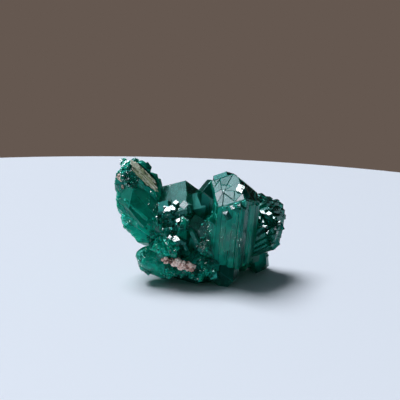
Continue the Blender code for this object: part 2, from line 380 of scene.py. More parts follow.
class Joiner:
    """Joins closed meshes into one solid and cuts others from it."""

    def __init__(self) -> None:
        """Make the hidden collection that holds what is joined or cut."""
        self.tools = bpy.data.collections.new("joining and cutting")
        bpy.context.scene.collection.children.link(self.tools)
        self.tools.hide_render = True

    def add(self, bm: bmesh.types.BMesh, name: str) -> None:
        """Put a closed mesh among the tools."""
        mesh = bpy.data.meshes.new(name)
        bm.to_mesh(mesh)
        bm.free()
        self.tools.objects.link(bpy.data.objects.new(name, mesh))

    def apply(self, target: bpy.types.Object, operation: str) -> None:
        """Join the tools to a solid or cut them from it, then throw them away.

        Args:
            target: The solid, which gets the result as its mesh.
            operation: UNION or DIFFERENCE.
        """
        step = target.modifiers.new(operation.lower(), 'BOOLEAN')
        step.operation = operation
        step.operand_type = 'COLLECTION'
        step.collection = self.tools
        step.solver = 'MANIFOLD'        # the exact solver drops some crystals where this many cross
        bpy.context.view_layer.update()
        depsgraph = bpy.context.evaluated_depsgraph_get()
        mesh = bpy.data.meshes.new_from_object(target.evaluated_get(depsgraph), depsgraph=depsgraph)
        target.modifiers.clear()
        old = target.data
        target.data = mesh
        bpy.data.meshes.remove(old)
        for tool in list(self.tools.objects):
            spent = tool.data
            bpy.data.objects.remove(tool, do_unlink=True)
            bpy.data.meshes.remove(spent)

    @staticmethod
    def keep_skin(target: bpy.types.Object) -> None:
        """Fill the pockets left closed between crystals: of the mesh only its outermost shell is kept."""
        bm = bmesh.new()
        bm.from_mesh(target.data)
        unseen = set(bm.verts)
        shells = []
        while unseen:
            shell = set()
            rim = [unseen.pop()]
            while rim:
                vert = rim.pop()
                shell.add(vert)
                for edge in vert.link_edges:
                    other = edge.other_vert(vert)
                    if other in unseen:
                        unseen.remove(other)
                        rim.append(other)
            shells.append(shell)
        skin = max(shells, key=lambda s: sum(max(v.co[k] for v in s) - min(v.co[k] for v in s) for k in range(3)))
        for shell in shells:
            if shell is not skin:
                bmesh.ops.delete(bm, geom=list(shell), context='VERTS')
        bm.to_mesh(target.data)
        bm.free()


@dataclass(frozen=True)
class Patch:
    """A part of a surface with many small bits on it."""

    middle: tuple[float, float, float]
    reach: tuple[float, float, float]           # half sizes of the egg-shaped region round the middle
    count: int
    size: tuple[float, float]                   # width of the smallest and the largest bit
    facing: tuple[float, float, float] = (0.0, 0.0, 0.0)    # the way the surface has to look, if any
    stray: float = 0.5                          # how far the bits lean from the surface's normal
    along: tuple[float, float, float] = (0.0, 0.0, 0.0)     # the way slim bits lie, if they do
    cloud: float = 0.3
    flash: float = 0.0                          # the share of bits with a face that mirrors the lamp
    lamp: Lamp = Lamp.KEY
    mottle: float = 0.3                         # how much the faces of one bit differ
    shade: tuple[float, float] = (0.0, DULLEST)     # polish of the dullest and the best bit, or shade of a grain


class Sprinkler:
    """Scatters small closed bits over a solid and joins them to it."""

    POOL = 500_000              # random points over the whole surface that patches pick from

    def __init__(self, joiner: Joiner, dice: random.Random) -> None:
        """Keep the tools that join the bits and the dice that place them."""
        self.joiner = joiner
        self.dice = dice

    def pool(self, mesh: bpy.types.Mesh) -> tuple[np.ndarray, np.ndarray]:
        """Random points all over a mesh.

        Args:
            mesh: The surface, in metres.

        Returns:
            Their places in millimetres and the surface's normals there.
        """
        mesh.calc_loop_triangles()
        count = len(mesh.loop_triangles)
        corners = np.empty(count * 3, dtype=np.int32)
        mesh.loop_triangles.foreach_get("vertices", corners)
        places = np.empty(len(mesh.vertices) * 3)
        mesh.vertices.foreach_get("co", places)
        corners = (places.reshape(-1, 3) / MM)[corners.reshape(-1, 3)]
        cross = np.cross(corners[:, 1] - corners[:, 0], corners[:, 2] - corners[:, 0])
        area = np.linalg.norm(cross, axis=1)
        draw = np.random.default_rng(self.dice.randrange(1 << 30))
        chosen = draw.choice(count, size=self.POOL, p=area / area.sum())
        first = np.sqrt(draw.random(self.POOL))[:, None]
        second = draw.random(self.POOL)[:, None]
        spots = corners[chosen]
        points = (1 - first) * spots[:, 0] + first * (1 - second) * spots[:, 1] + first * second * spots[:, 2]
        return points, cross[chosen] / np.maximum(area[chosen], 1e-12)[:, None]

    def sprinkle(self, target: bpy.types.Object, patches: list[Patch], kinds: list[bpy.types.Mesh]) -> int:
        """Scatter bits over a solid's patches and join them to it.

        Args:
            target: The solid.
            patches: Where, how many and how big.
            kinds: Meshes to copy, one unit wide, that stand on their origin along +Z.

        Returns:
            How many bits were joined.
        """
        points, normals = self.pool(target.data)
        chosen = []
        for patch in patches:
            inside = (((points - np.array(patch.middle)) / np.array(patch.reach)) ** 2).sum(axis=1) < 1.0
            if any(patch.facing):
                inside &= normals @ np.array(Vector(patch.facing).normalized()) > 0.15
            for index in np.flatnonzero(inside)[:patch.count]:
                size = patch.size[0] + (patch.size[1] - patch.size[0]) * self.dice.random() ** 1.8
                chosen.append((Vector(points[index]), Vector(normals[index]), size, patch))
        for number, layer in enumerate(self.apart(chosen)):
            self.joiner.add(self.layer(layer, kinds), f"layer_{number}")
        self.joiner.apply(target, 'UNION')
        return len(chosen)

    @staticmethod
    def apart(chosen: list[tuple[Vector, Vector, float, Patch]]) -> list[list[tuple[Vector, Vector, float, Patch]]]:
        """Deal the bits into layers in which none touches another."""
        layers: list[list[tuple[Vector, Vector, float, Patch]]] = []
        filled: list[np.ndarray] = []
        for bit in chosen:
            room = 3.2 * bit[2] if any(bit[3].along) else 1.0 * bit[2]
            here = np.array([*bit[0], room])
            for layer, taken in enumerate(filled):
                gaps = np.linalg.norm(taken[:, :3] - here[:3], axis=1)
                if (gaps > taken[:, 3] + room).all():
                    layers[layer].append(bit)
                    filled[layer] = np.vstack([taken, here])
                    break
            else:
                layers.append([bit])
                filled.append(here[None, :])
        return layers

    def layer(self, bits: list[tuple[Vector, Vector, float, Patch]],
              kinds: list[bpy.types.Mesh]) -> bmesh.types.BMesh:
        """One mesh of bits that don't touch, in metres."""
        bm = bmesh.new()
        for place, normal, size, patch in bits:
            known = len(bm.verts)
            faces_known = len(bm.faces)
            bm.from_mesh(self.dice.choice(kinds))
            bm.verts.ensure_lookup_table()
            bm.faces.ensure_lookup_table()
            flashes = self.dice.random() < patch.flash
            turn = self.flash_turn(normal, patch.lamp) if flashes else self.loose_turn(normal, patch)
            there = Matrix.Translation(place * MM) @ turn.to_4x4() @ Matrix.Scale(size * MM, 4)
            bmesh.ops.transform(bm, matrix=there, verts=bm.verts[known:])
            facet = bm.faces.layers.float["facet"]
            milk = bm.faces.layers.float["milk"]
            low, high = patch.shade
            shade = self.dice.uniform(low, high)
            for face in bm.faces[faces_known:]:
                varied = shade + self.dice.uniform(-patch.mottle, patch.mottle)
                face[facet] = 1.0 if flashes else max(low, min(high, varied))
                face[milk] = patch.cloud
        return bm

    def loose_turn(self, normal: Vector, patch: Patch) -> Matrix:
        """How a bit stands: about the surface's normal or the patch's own direction."""
        stray = Vector([self.dice.gauss(0.0, patch.stray) for _ in range(3)])
        axis = ((Vector(patch.along) if any(patch.along) else normal) + stray).normalized()
        turn = axis.to_track_quat('Z', 'Y').to_matrix()
        return turn @ Matrix.Rotation(self.dice.uniform(0.0, 2.0 * math.pi), 3, 'Z')

    def flash_turn(self, normal: Vector, lamp: Lamp) -> Matrix:
        """How a bit stands with its first rhomb face towards the direction that mirrors a lamp."""
        slope = math.radians(RHOMB_SLOPE)
        way = (lamp.mirror + Vector([self.dice.gauss(0.0, 0.035) for _ in range(3)])).normalized()
        rise = normal - way * normal.dot(way)
        rise = rise.normalized() if rise.length > 0.05 else way.orthogonal().normalized()
        axis = way * math.cos(slope) + rise * math.sin(slope)
        across = (way - axis * way.dot(axis)).normalized()
        return Matrix((across, axis.cross(across), axis)).transposed()


def heading(axis: Vector, way: Vector) -> tuple[float, float, float]:
    """How to place a crystal along an axis with its first rhomb face turned towards a direction.

    Args:
        axis: The crystal's long axis, towards its point.
        way: What the first rhomb face looks at, as nearly as it can.

    Returns:
        The crystal's lean, its compass direction and its turn.
    """
    lean = math.acos(max(-1.0, min(1.0, axis.z)))
    toward = math.atan2(axis.y, axis.x)
    seen = Matrix.Rotation(-lean, 3, 'Y') @ Matrix.Rotation(-toward, 3, 'Z') @ way
    return math.degrees(lean), math.degrees(toward), math.degrees(math.atan2(seen.y, seen.x))


def flashing(lamp: Lamp, middle: tuple[float, float, float], width: float, length: float,
             spin: float, thin: float = 1.0) -> Crystal:
    """A crystal with one rhomb face that mirrors a lamp.

    Args:
        lamp: The lamp.
        middle: The middle of that face.
        width: The crystal's width.
        length: Its length.
        spin: Its turn about that face's normal; at 0 its point is at the top of the face.
        thin: The face's width as a share of that of a regular crystal.

    Returns:
        The crystal.
    """
    slope = math.radians(RHOMB_SLOPE)
    way = lamp.mirror
    uphill = (Vector((0.0, 0.0, 1.0)) - way * way.z).normalized()
    rise = Matrix.Rotation(math.radians(spin), 3, way) @ uphill
    axis = (way * math.cos(slope) + rise * math.sin(slope)).normalized()
    tip = Vector(middle) + rise * 0.456 * width
    lean, toward, turn = heading(axis, way)
    return Crystal("flash", tuple(tip), lean, toward, width, length, turn, thin, cloud=0.1, shine=1.0,
                   sides=0.4)


@dataclass(frozen=True)
class Bundle:
    """Slim parallel crystals grown side by side, which end in a stepped dome."""

    name: str
    root: tuple[float, float, float]                # a point of the axis
    lean: float
    toward: float
    turn: float
    dome: tuple[tuple[float, float], ...]           # height above the axis, and how far out the tips are there
    depth: tuple[float, float]                      # from the back to the front of the bundle
    fall: float                                     # how fast the tips fall back towards front and back
    width: float
    cloud: float
    shine: float

    def crystals(self, dice: random.Random) -> list[Crystal]:
        """The crystals, row above row."""
        place = (Matrix.Translation(Vector(self.root)) @ Matrix.Rotation(math.radians(self.toward), 4, 'Z')
                 @ Matrix.Rotation(math.radians(self.lean), 4, 'Y'))
        heights, reaches = zip(*self.dome)
        pitch = 0.86 * self.width
        grown = []
        for row in range(int((heights[-1] - heights[0]) / pitch) + 1):
            height = heights[0] + row * pitch
            for column in range(int((self.depth[1] - self.depth[0]) / pitch) + 1):
                front = self.depth[0] + (column + 0.5 * (row % 2) + dice.uniform(-0.2, 0.2)) * pitch
                out = float(np.interp(height, heights, reaches)) - self.fall * front * front
                out -= dice.choice((0.0, 0.15, 0.3, 0.7)) + dice.uniform(0.0, 0.15)
                tip = place @ Vector((-height, -front, out))
                grown.append(Crystal(
                    self.name, tuple(tip), self.lean + dice.gauss(0.0, 1.5), self.toward + dice.gauss(0.0, 2.5),
                    self.width * dice.uniform(0.85, 1.6), out, self.turn + dice.gauss(0.0, 6.0),
                    cloud=self.cloud, shine=self.shine * dice.uniform(0.8, 1.1), sides=1.0))
        return grown


# The crystals, big to small, as the CAD solid has them.

GREAT_PRISM = [
    Crystal("great", (6.9, -6.0, 22.8), 19, -78, 8.2, 19, -54, cuts=((165, 44, 1.0),), habit=Habit.BLOCKY,
            ribs=(3, 9, 5, 4, 4, 5), step=0.09, cloud=0.68),
    Crystal("great_left", (2.2, -3.6, 20.8), 19, -78, 4.4, 17, 6, habit=Habit.RIBBED, cloud=0.3),
    Crystal("great_front", (3.2, -4.9, 15.6), 19, -78, 4.2, 12, 6, habit=Habit.RIBBED, cloud=0.7),
    Crystal("great_back", (4.9, -4.0, 22.5), 18, -78, 4.2, 17, -54, habit=Habit.RIBBED, cloud=0.1),
    Crystal("great_right", (9.0, -1.0, 17.4), 16, -66, 4.6, 16, -50, habit=Habit.RIBBED, cloud=0.1),
]

CENTRE = [
    Crystal("centre", (-2.7, -0.8, 20.0), 14, -34, 9.6, 14, 18, habit=Habit.RIBBED, cloud=0.35, shine=0.75,
            sides=1.0),
    Crystal("centre_step", (-2.6, -3.7, 17.8), 14, -34, 4.6, 4, 18, habit=Habit.RIBBED, cloud=0.3, shine=0.75),
    Crystal("centre_left", (-6.0, -3.4, 16.9), 14, -34, 3.2, 4, 18, habit=Habit.RIBBED, cloud=0.2),
    Crystal("centre_right", (0.7, -1.8, 18.2), 13, -34, 5.4, 12, 18, habit=Habit.RIBBED, cloud=0.2, shine=0.3),
    Crystal("centre_low", (-3.6, -4.8, 15.2), 22, -60, 3.2, 5, 10, habit=Habit.RIBBED, cloud=0.2),
]

FAN_HEART = (-7.4, 0.4, 8.8)                # where the blade's crystals spread from
FAN_REACH = [                               # angle left of upright, and how far the tip is from the heart
    (13, 13.4), (18, 14.9), (23, 16.0), (28, 15.9), (34, 15.1), (40, 13.5),
    (47, 11.7), (55, 10.1), (64, 8.7), (74, 7.3), (86, 5.8)]
FAN_ROWS = [(-0.6, 0.0, 0.0), (1.7, 60.0, 0.9), (3.6, 0.0, 2.0)]    # depth, turn and shortening of each row
FAN_WIDTH = 3.7
FAN_THIN = 0.85
FAN_MILKY = 36                              # the crystals that lean further are the milky ones

BLADE = [
    Crystal("blade_main", (-14.6, -0.8, 19.6), 42, 165, 6.4, 9, 74, 0.7, cloud=0.6),
    Crystal("blade_mid", (-13.4, -1.0, 14.2), 54, 178, 4.4, 8, 60, 0.7, cloud=1.0),
    Crystal("blade_edge", (-14.2, -3.75, 17.1), 54, 157, 0.65, 6.0, 0, cloud=0.8, shine=0.5),
    Crystal("blade_crest", (-11.0, 0.4, 24.1), 8, 60, 2.3, 6, 20, habit=Habit.ROUNDED, cloud=1.0),
    Crystal("blade_crest_dark", (-9.9, 0.8, 23.2), 20, 10, 1.9, 6, 40, cloud=0.0),
]

RIGHT = [
    Crystal("right_inner", (11.2, 1.0, 16.2), 9, -34, 3.6, 13, -38, habit=Habit.RIBBED, cloud=0.1),
    Crystal("right_low", (15.0, 2.6, 6.8), 96, -8, 3.4, 8, 46, habit=Habit.RIBBED, cloud=0.0, shine=0.4),
    Crystal("right_root", (11.8, 5.6, -1.2), 172, 30, 4.2, 10, 12, habit=Habit.RIBBED, cloud=0.0, shine=0.25),
    Crystal("right_knob", (15.5, -0.4, 7.2), 104, -12, 2.7, 3.5, 30, cloud=0.0, shine=0.25),
]

RIGHT_BUNDLE = Bundle(
    "right_bundle", (8.0, 3.4, 6.0), 64, -16, -57,
    ((-2.2, 7.6), (-0.9, 8.8), (0.5, 9.6), (1.4, 10.4), (2.1, 10.9), (3.6, 11.0), (4.9, 10.5), (6.0, 9.6),
     (6.9, 8.0)),
    (-3.2, 2.6), 0.05, 1.15, 0.1, 0.8)

RIGHT_FIBRES = Bundle(                      # the fibrous flank under the dome
    "right_fibre", (8.6, 2.0, 5.4), 58, -18, -47, ((-1.2, 7.4), (0.2, 8.8), (1.4, 9.5)), (0.4, 3.2), 0.03, 0.6,
    0.35, 0.62)

HOLLOW = [
    Crystal("hollow_green", (-3.2, -6.6, 14.4), 22, -80, 1.6, 5, 10, cloud=1.0),
    Crystal("hollow_ridge", (-1.0, -5.6, 14.6), 27, -131, 3.4, 9, 40, habit=Habit.RIBBED,
            ribs=(8, 8, 8, 8, 8, 8), step=0.1, cloud=0.05, shine=0.72),
    Crystal("turquoise_a", (-5.4, -6.6, 8.6), 62, -95, 1.7, 4, 20, cloud=1.0),
    Crystal("turquoise_b", (-6.6, -6.1, 7.6), 70, -120, 1.5, 4, 50, cloud=1.0),
    Crystal("turquoise_c", (-4.6, -6.4, 7.2), 80, -70, 1.4, 4, 80, cloud=1.0),
    Crystal("turquoise_d", (-7.6, -5.4, 8.8), 55, -140, 1.4, 4, 0, cloud=1.0),
]

LOWER_LEFT = [
    Crystal("lump_upper", (-12.8, -2.8, 6.6), 62, -172, 4.8, 9, 8, habit=Habit.ROUNDED, cloud=0.9),
    Crystal("lump_middle", (-12.7, -2.2, 4.3), 84, -167, 5.0, 9, 13, habit=Habit.ROUNDED, cloud=1.0),
    Crystal("lump_lower", (-11.1, -2.2, 3.4), 102, -160, 3.8, 8, 24, habit=Habit.ROUNDED, cloud=0.9),
    Crystal("lump_front", (-9.4, -4.7, 4.8), 70, -120, 3.0, 6, 10, habit=Habit.ROUNDED, cloud=0.9),
    Crystal("lump_small", (-11.4, -4.3, 6.4), 66, -130, 2.2, 5, 10, habit=Habit.ROUNDED, cloud=0.7),
    Crystal("lump_foot", (-11.6, -4.0, 3.6), 88, -135, 2.4, 5, 10, habit=Habit.ROUNDED, cloud=0.8),
    Crystal("lump_inner", (-8.0, -5.0, 3.6), 84, -105, 2.2, 5, 10, habit=Habit.ROUNDED, cloud=0.8),
]

BASE = [
    Crystal("base_front", (4.6, -4.2, -0.8), 152, -100, 4.4, 7, -46, habit=Habit.RIBBED, cloud=0.1),
    Crystal("base_left", (-9.4, -1.2, 3.8), 92, 180, 4.6, 13, 0, habit=Habit.ROUNDED, cloud=0.9),
    Crystal("base_foot", (-6.0, 3.0, -1.5), 172, 180, 4.6, 8, 0, cloud=0.3),
    Crystal("base_middle", (0.5, -2.2, 2.0), 116, -100, 5.4, 8, 20, cloud=0.3),
    Crystal("heart_left", (-5.2, 1.0, 13.0), 4, 60, 6.6, 11, 20, cloud=0.3),
    Crystal("heart", (1.0, 3.0, 13.0), 4, 20, 9.6, 15, 0, cloud=0.3),
]

BACK = [
    Crystal("back_left", (-8.6, 6.2, 15.6), 32, 112, 5.2, 12, 20, habit=Habit.BLOCKY, cloud=0.3),
    Crystal("back_middle", (-2.0, 7.4, 17.0), 28, 96, 6.2, 14, 60, habit=Habit.BLOCKY, cloud=0.4),
    Crystal("back_right", (4.6, 7.6, 16.0), 34, 80, 5.6, 13, 30, habit=Habit.BLOCKY, cloud=0.2),
    Crystal("back_corner", (9.8, 7.8, 12.6), 50, 58, 5.0, 12, 0, habit=Habit.BLOCKY, cloud=0.2),
    Crystal("back_low", (-5.4, 9.2, 8.2), 74, 104, 5.0, 10, 45, habit=Habit.BLOCKY, cloud=0.4),
    Crystal("back_foot", (3.4, 9.6, 7.0), 80, 86, 5.4, 10, 15, habit=Habit.BLOCKY, cloud=0.3),
    Crystal("back_base", (6.6, 6.6, -1.4), 168, 40, 5.0, 9, 15, habit=Habit.RIBBED, cloud=0.2),
]

# Patches of small crystals: middle, how far they spread along and across, lean and compass direction of
# the surface, how many, and their width.
DRUSE = [
    ((-4.6, -4.8, 12.6), (3.4, 1.4), 50, -90, 16, 1.8),
    ((-8.2, -3.2, 12.6), (1.6, 1.0), 50, -120, 8, 1.4),
    ((-5.8, -5.2, 8.8), (2.2, 1.6), 55, -90, 18, 1.3),
    ((-4.8, -4.8, 10.2), (2.4, 0.6), 35, -90, 6, 1.3),
    ((-1.6, -4.2, 7.4), (1.0, 0.8), 50, -80, 4, 1.2),
    ((0.6, -5.8, 10.4), (0.8, 2.6), 60, -110, 10, 1.0),
    ((-9.4, -3.2, 9.4), (1.4, 1.2), 60, -140, 8, 1.5),
    ((-10.4, -3.0, 5.6), (1.2, 1.3), 65, -140, 4, 1.4),
    ((-3.0, -4.0, 3.1), (4.6, 0.6), 103, -92, 16, 1.7),
    ((4.4, -4.0, 2.2), (1.8, 0.8), 110, -80, 5, 2.0),
    ((-13.5, 1.4, 22.9), (1.4, 1.3), 20, 180, 20, 1.5),
    ((-15.2, 0.8, 18.6), (1.6, 2.2), 72, 180, 12, 1.3),
]

# Single faces that catch the lamp: middle of the face, width, length, turn in the face.
FLASHES = [
    (Lamp.KEY, (-4.5, -4.5, 16.7), 1.2, 2.0, 20), (Lamp.KEY, (-5.1, -4.85, 15.75), 1.6, 2.5, -35),
    (Lamp.KEY, (-6.0, -4.95, 15.55), 1.7, 2.5, 50), (Lamp.KEY, (-6.5, -4.8, 15.0), 0.8, 1.5, 0),
    (Lamp.KEY, (-4.0, -4.95, 15.7), 0.8, 1.5, 70), (Lamp.KEY, (-6.6, -4.5, 15.9), 0.5, 1.2, 20),
    (Lamp.KEY, (-5.9, -5.3, 14.75), 0.9, 1.5, -60), (Lamp.KEY, (-5.3, -5.3, 14.7), 0.6, 1.2, 10),
    (Lamp.CURTAIN, (-3.0, -5.2, 16.4), 1.9, 2.5, 15), (Lamp.CURTAIN, (-7.3, -4.0, 15.2), 1.6, 2.5, 40),
    (Lamp.PANE, (-4.6, -7.2, 10.5), 2.4, 3.0, 80, 0.5), (Lamp.PANE, (-5.6, -7.0, 10.7), 1.1, 2.5, 100, 0.7),
    (Lamp.PANE, (-3.2, -6.5, 9.6), 0.6, 2.0, 30), (Lamp.PANE, (-2.0, -6.1, 7.4), 1.5, 2.6, 20, 0.9),
    (Lamp.PANE, (-5.7, -6.8, 8.4), 0.5, 1.2, 10), (Lamp.PANE, (-10.3, -4.1, 8.9), 1.2, 2.0, 20, 0.35),
    (Lamp.KEY, (-7.9, -5.0, 13.6), 0.6, 1.2, 20), (Lamp.KEY, (-8.1, -5.0, 14.1), 0.35, 1.0, 80),
    (Lamp.KEY, (11.8, -2.2, 14.2), 1.8, 2.5, 62, 0.4), (Lamp.KEY, (13.0, -2.3, 13.95), 1.2, 2.5, 10),
    (Lamp.KEY, (11.1, -2.4, 13.1), 1.2, 2.5, 55, 0.7), (Lamp.KEY, (11.6, -2.6, 12.6), 1.7, 2.5, 55, 0.45),
    (Lamp.KEY, (12.6, -3.6, 10.9), 1.7, 3.5, 20, 0.45), (Lamp.KEY, (12.0, -3.6, 11.8), 1.3, 3.0, -60, 0.5),
    (Lamp.KEY, (13.8, -2.4, 13.1), 0.8, 2.5, 0), (Lamp.KEY, (15.0, -1.8, 12.2), 0.6, 2.0, 45),
    (Lamp.CURTAIN, (12.6, -2.6, 13.15), 1.8, 2.5, 50, 0.45), (Lamp.CURTAIN, (13.35, -2.7, 12.5), 1.8, 2.5, 50, 0.45),
    (Lamp.CURTAIN, (13.8, -3.3, 11.3), 1.3, 3.0, -40, 0.5), (Lamp.CURTAIN, (14.5, -2.8, 11.8), 1.1, 3.0, -50, 0.5),
    (Lamp.CURTAIN, (14.2, -3.1, 10.3), 1.1, 3.0, -30, 0.5), (Lamp.PANE, (7.3, -8.15, 20.3), 2.1, 3.0, 28, 0.9),
    (Lamp.CURTAIN, (4.65, -7.9, 15.8), 1.2, 2.0, 30), (Lamp.CURTAIN, (5.9, -8.5, 16.9), 1.3, 2.0, 80, 0.8),
    (Lamp.CURTAIN, (7.0, -8.9, 17.5), 1.1, 2.0, 60, 0.7),
]

# Crystals of middling size over the finished join.
MID_DRUSE = [
    Patch((-4.8, -5.2, 13.0), (3.0, 2.0, 1.8), 34, (0.6, 1.2), cloud=0.2, flash=0.04),
    Patch((-6.2, -5.4, 8.6), (2.2, 2.0, 1.6), 34, (0.6, 1.3), cloud=1.0, flash=0.04, lamp=Lamp.PANE),
    Patch((-14.2, 0.0, 22.4), (1.6, 2.0, 1.6), 26, (0.6, 1.2), cloud=0.9, flash=0.08),
    Patch((-13.0, -1.6, 20.3), (1.3, 1.4, 1.8), 16, (0.5, 0.9), cloud=0.2, flash=0.1),
    Patch((-14.4, -1.4, 11.6), (2.0, 2.4, 2.6), 8, (0.4, 0.7), cloud=1.0),
    Patch((-2.2, -4.0, 2.8), (5.2, 2.4, 1.3), 40, (0.7, 1.4), cloud=0.8),
    Patch((0.0, 5.6, 5.0), (15.0, 3.6, 5.4), 150, (0.7, 1.5), cloud=0.4),
]

# The very small crystals that only the finished surface has.
MICRO_DRUSE = [
    Patch((-14.0, 0.2, 22.4), (1.9, 2.4, 2.2), 420, (0.12, 0.4), cloud=1.0, flash=0.2),
    Patch((-11.4, 0.8, 23.4), (2.0, 2.0, 1.0), 16, (0.12, 0.3), cloud=0.6, flash=0.2),
    Patch((-13.1, -1.6, 20.2), (1.5, 1.6, 2.0), 200, (0.12, 0.42), cloud=0.2, flash=0.25),
    Patch((-15.6, 0.0, 17.0), (1.4, 2.6, 3.4), 110, (0.12, 0.32), cloud=1.0, flash=0.1),
    Patch((-8.8, -3.0, 16.4), (1.1, 1.9, 3.2), 80, (0.12, 0.3), cloud=0.5, flash=0.3, lamp=Lamp.PANE),
    Patch((-13.4, -2.0, 11.6), (2.8, 2.4, 3.0), 60, (0.08, 0.24), cloud=1.0, flash=0.3, lamp=Lamp.PANE),
    Patch((-6.2, -5.0, 8.8), (3.0, 2.4, 2.6), 260, (0.15, 0.5), cloud=1.0, flash=0.12, lamp=Lamp.PANE),
    Patch((-8.6, -3.6, 12.0), (1.6, 2.0, 2.6), 160, (0.15, 0.5), cloud=0.9, flash=0.12),
    Patch((-6.2, -1.0, 19.0), (1.2, 1.4, 0.5), 8, (0.1, 0.24), cloud=0.8, flash=0.7),
    Patch((-4.4, -5.0, 13.0), (3.2, 2.0, 2.2), 200, (0.15, 0.45), cloud=0.3, flash=0.08),
    Patch((-0.6, -5.2, 9.0), (1.6, 3.0, 4.5), 60, (0.1, 0.35), cloud=0.3, flash=0.3, lamp=Lamp.PANE),
    Patch((0.6, -5.0, 4.0), (2.4, 2.0, 3.0), 150, (0.15, 0.45), cloud=0.3, flash=0.15, lamp=Lamp.PANE),
    Patch((4.6, -8.0, 8.0), (4.0, 3.0, 5.0), 120, (0.08, 0.2), cloud=1.0, flash=0.8, lamp=Lamp.PANE),
    Patch((1.2, -6.4, 9.6), (1.2, 2.6, 4.4), 320, (0.1, 0.32), cloud=1.0, flash=0.4, lamp=Lamp.PANE),
    Patch((-11.0, -3.0, 4.6), (3.4, 3.0, 2.8), 110, (0.08, 0.24), cloud=1.0, flash=0.5, lamp=Lamp.PANE),
    Patch((-3.2, -6.9, 14.2), (0.9, 1.0, 0.8), 10, (0.15, 0.35), cloud=1.0, flash=0.6),
    Patch((-2.2, -4.0, 2.6), (5.6, 2.4, 1.5), 220, (0.2, 0.5), cloud=1.0, flash=0.15, lamp=Lamp.PANE),
    Patch((0.0, 6.0, 4.0), (14.0, 3.6, 5.0), 300, (0.3, 0.8), cloud=0.4),
]


def fan() -> list[Crystal]:
    """The rows of thin crystals that make the blade."""
    grown = []
    for depth, turn, shortening in FAN_ROWS:
        for step, (angle, reach) in enumerate(FAN_REACH):
            along = math.radians(angle)
            shorter = reach - shortening - (0.5 if step % 2 else 0.0)
            tip = (FAN_HEART[0] - shorter * math.sin(along),
                   FAN_HEART[1] + depth,
                   FAN_HEART[2] + shorter * math.cos(along))
            grown.append(Crystal("fan", tip, angle, 180, FAN_WIDTH, 0.8 * shorter, turn, FAN_THIN,
                                 habit=Habit.RIBBED, cloud=1.0 if angle > FAN_MILKY else 0.6))
    return grown


def druse(dice: random.Random) -> list[Crystal]:
    """The small crystals, scattered over their patches."""
    grown = []
    for middle, spread, lean, toward, count, width in DRUSE:
        surface = (Matrix.Translation(Vector(middle)) @ Matrix.Rotation(math.radians(toward), 4, 'Z')
                   @ Matrix.Rotation(math.radians(lean), 4, 'Y'))
        for _ in range(count):
            across = dice.uniform(-1.0, 1.0) * spread[1]
            along = dice.uniform(-1.0, 1.0) * spread[0]
            rise = dice.uniform(-0.5, 0.5) * width
            tip = surface @ Vector((across, along, rise))
            axis = surface.to_3x3() @ Vector((dice.uniform(-0.7, 0.7), dice.uniform(-0.7, 0.7), 1.0))
            axis.normalize()
            grown.append(Crystal(
                "druse", tuple(tip), math.degrees(math.acos(axis.z)),
                math.degrees(math.atan2(axis.y, axis.x)), width * dice.uniform(0.6, 1.25),
                2.4 * width, dice.uniform(0.0, 120.0), cloud=0.45))
    return grown


def companions(parent: Crystal, side: int, count: int, width: float, drop: float, stand: float,
               dice: random.Random) -> list[Crystal]:
    """Slim crystals grown parallel to a large one, side by side on one of its prism faces.

    Args:
        parent: The large crystal.
        side: Which prism face, 0 to 5.
        count: How many.
        width: Their mean width.
        drop: How far below the large crystal's edge the lowest of them ends.
        stand: How far the boldest stands out of the face.
        dice: Where the random choices come from.

    Returns:
        The slim crystals.
    """
    turn = Matrix.Rotation(math.radians(30.0 + 60.0 * side), 3, 'Z')
    grown = []
    for _ in range(count):
        slim = width * dice.uniform(0.6, 1.4)
        across = dice.uniform(-0.5, 0.5) * (parent.width / math.sqrt(3.0) - 0.5 * slim)
        out = 0.5 * (parent.width - slim) + stand * dice.random()
        spot = turn @ Vector((out, across, 0.0))
        top = parent.roof(spot.x, spot.y) - drop * dice.random() ** 1.5
        tip = parent.frame() @ Vector((spot.x, spot.y * parent.thin, top))
        length = min(parent.length + top - 0.5, dice.uniform(0.5, 1.0) * parent.length)
        grown.append(replace(
            parent, name=parent.name + "_slim", tip=tuple(tip), width=slim, length=length, cuts=(),
            lean=parent.lean + dice.gauss(0.0, 0.6), toward=parent.toward + dice.gauss(0.0, 0.6),
            habit=Habit.SMOOTH))
    return grown


def linear(code: str) -> tuple[float, float, float, float]:
    """An sRGB hex colour as linear red, green, blue and 1."""
    parts = [int(code[k:k + 2], 16) / 255.0 for k in (0, 2, 4)]
    return (*((part / 12.92) if part <= 0.04045 else ((part + 0.055) / 1.055) ** 2.4 for part in parts), 1.0)


def add_node(tree: bpy.types.NodeTree, kind: str, inputs: dict | None = None, **settings) -> bpy.types.Node:
    """Add a node to a tree.

    Args:
        tree: The tree.
        kind: The node's type.
        inputs: For each input socket its value, or the output socket it is linked to.
        settings: The node's own properties.

    Returns:
        The node.
    """
    node = tree.nodes.new(kind)
    for name, value in settings.items():
        setattr(node, name, value)
    for key, value in (inputs or {}).items():
        if isinstance(value, bpy.types.NodeSocket):
            tree.links.new(value, node.inputs[key])
        else:
            node.inputs[key].default_value = value
    return node


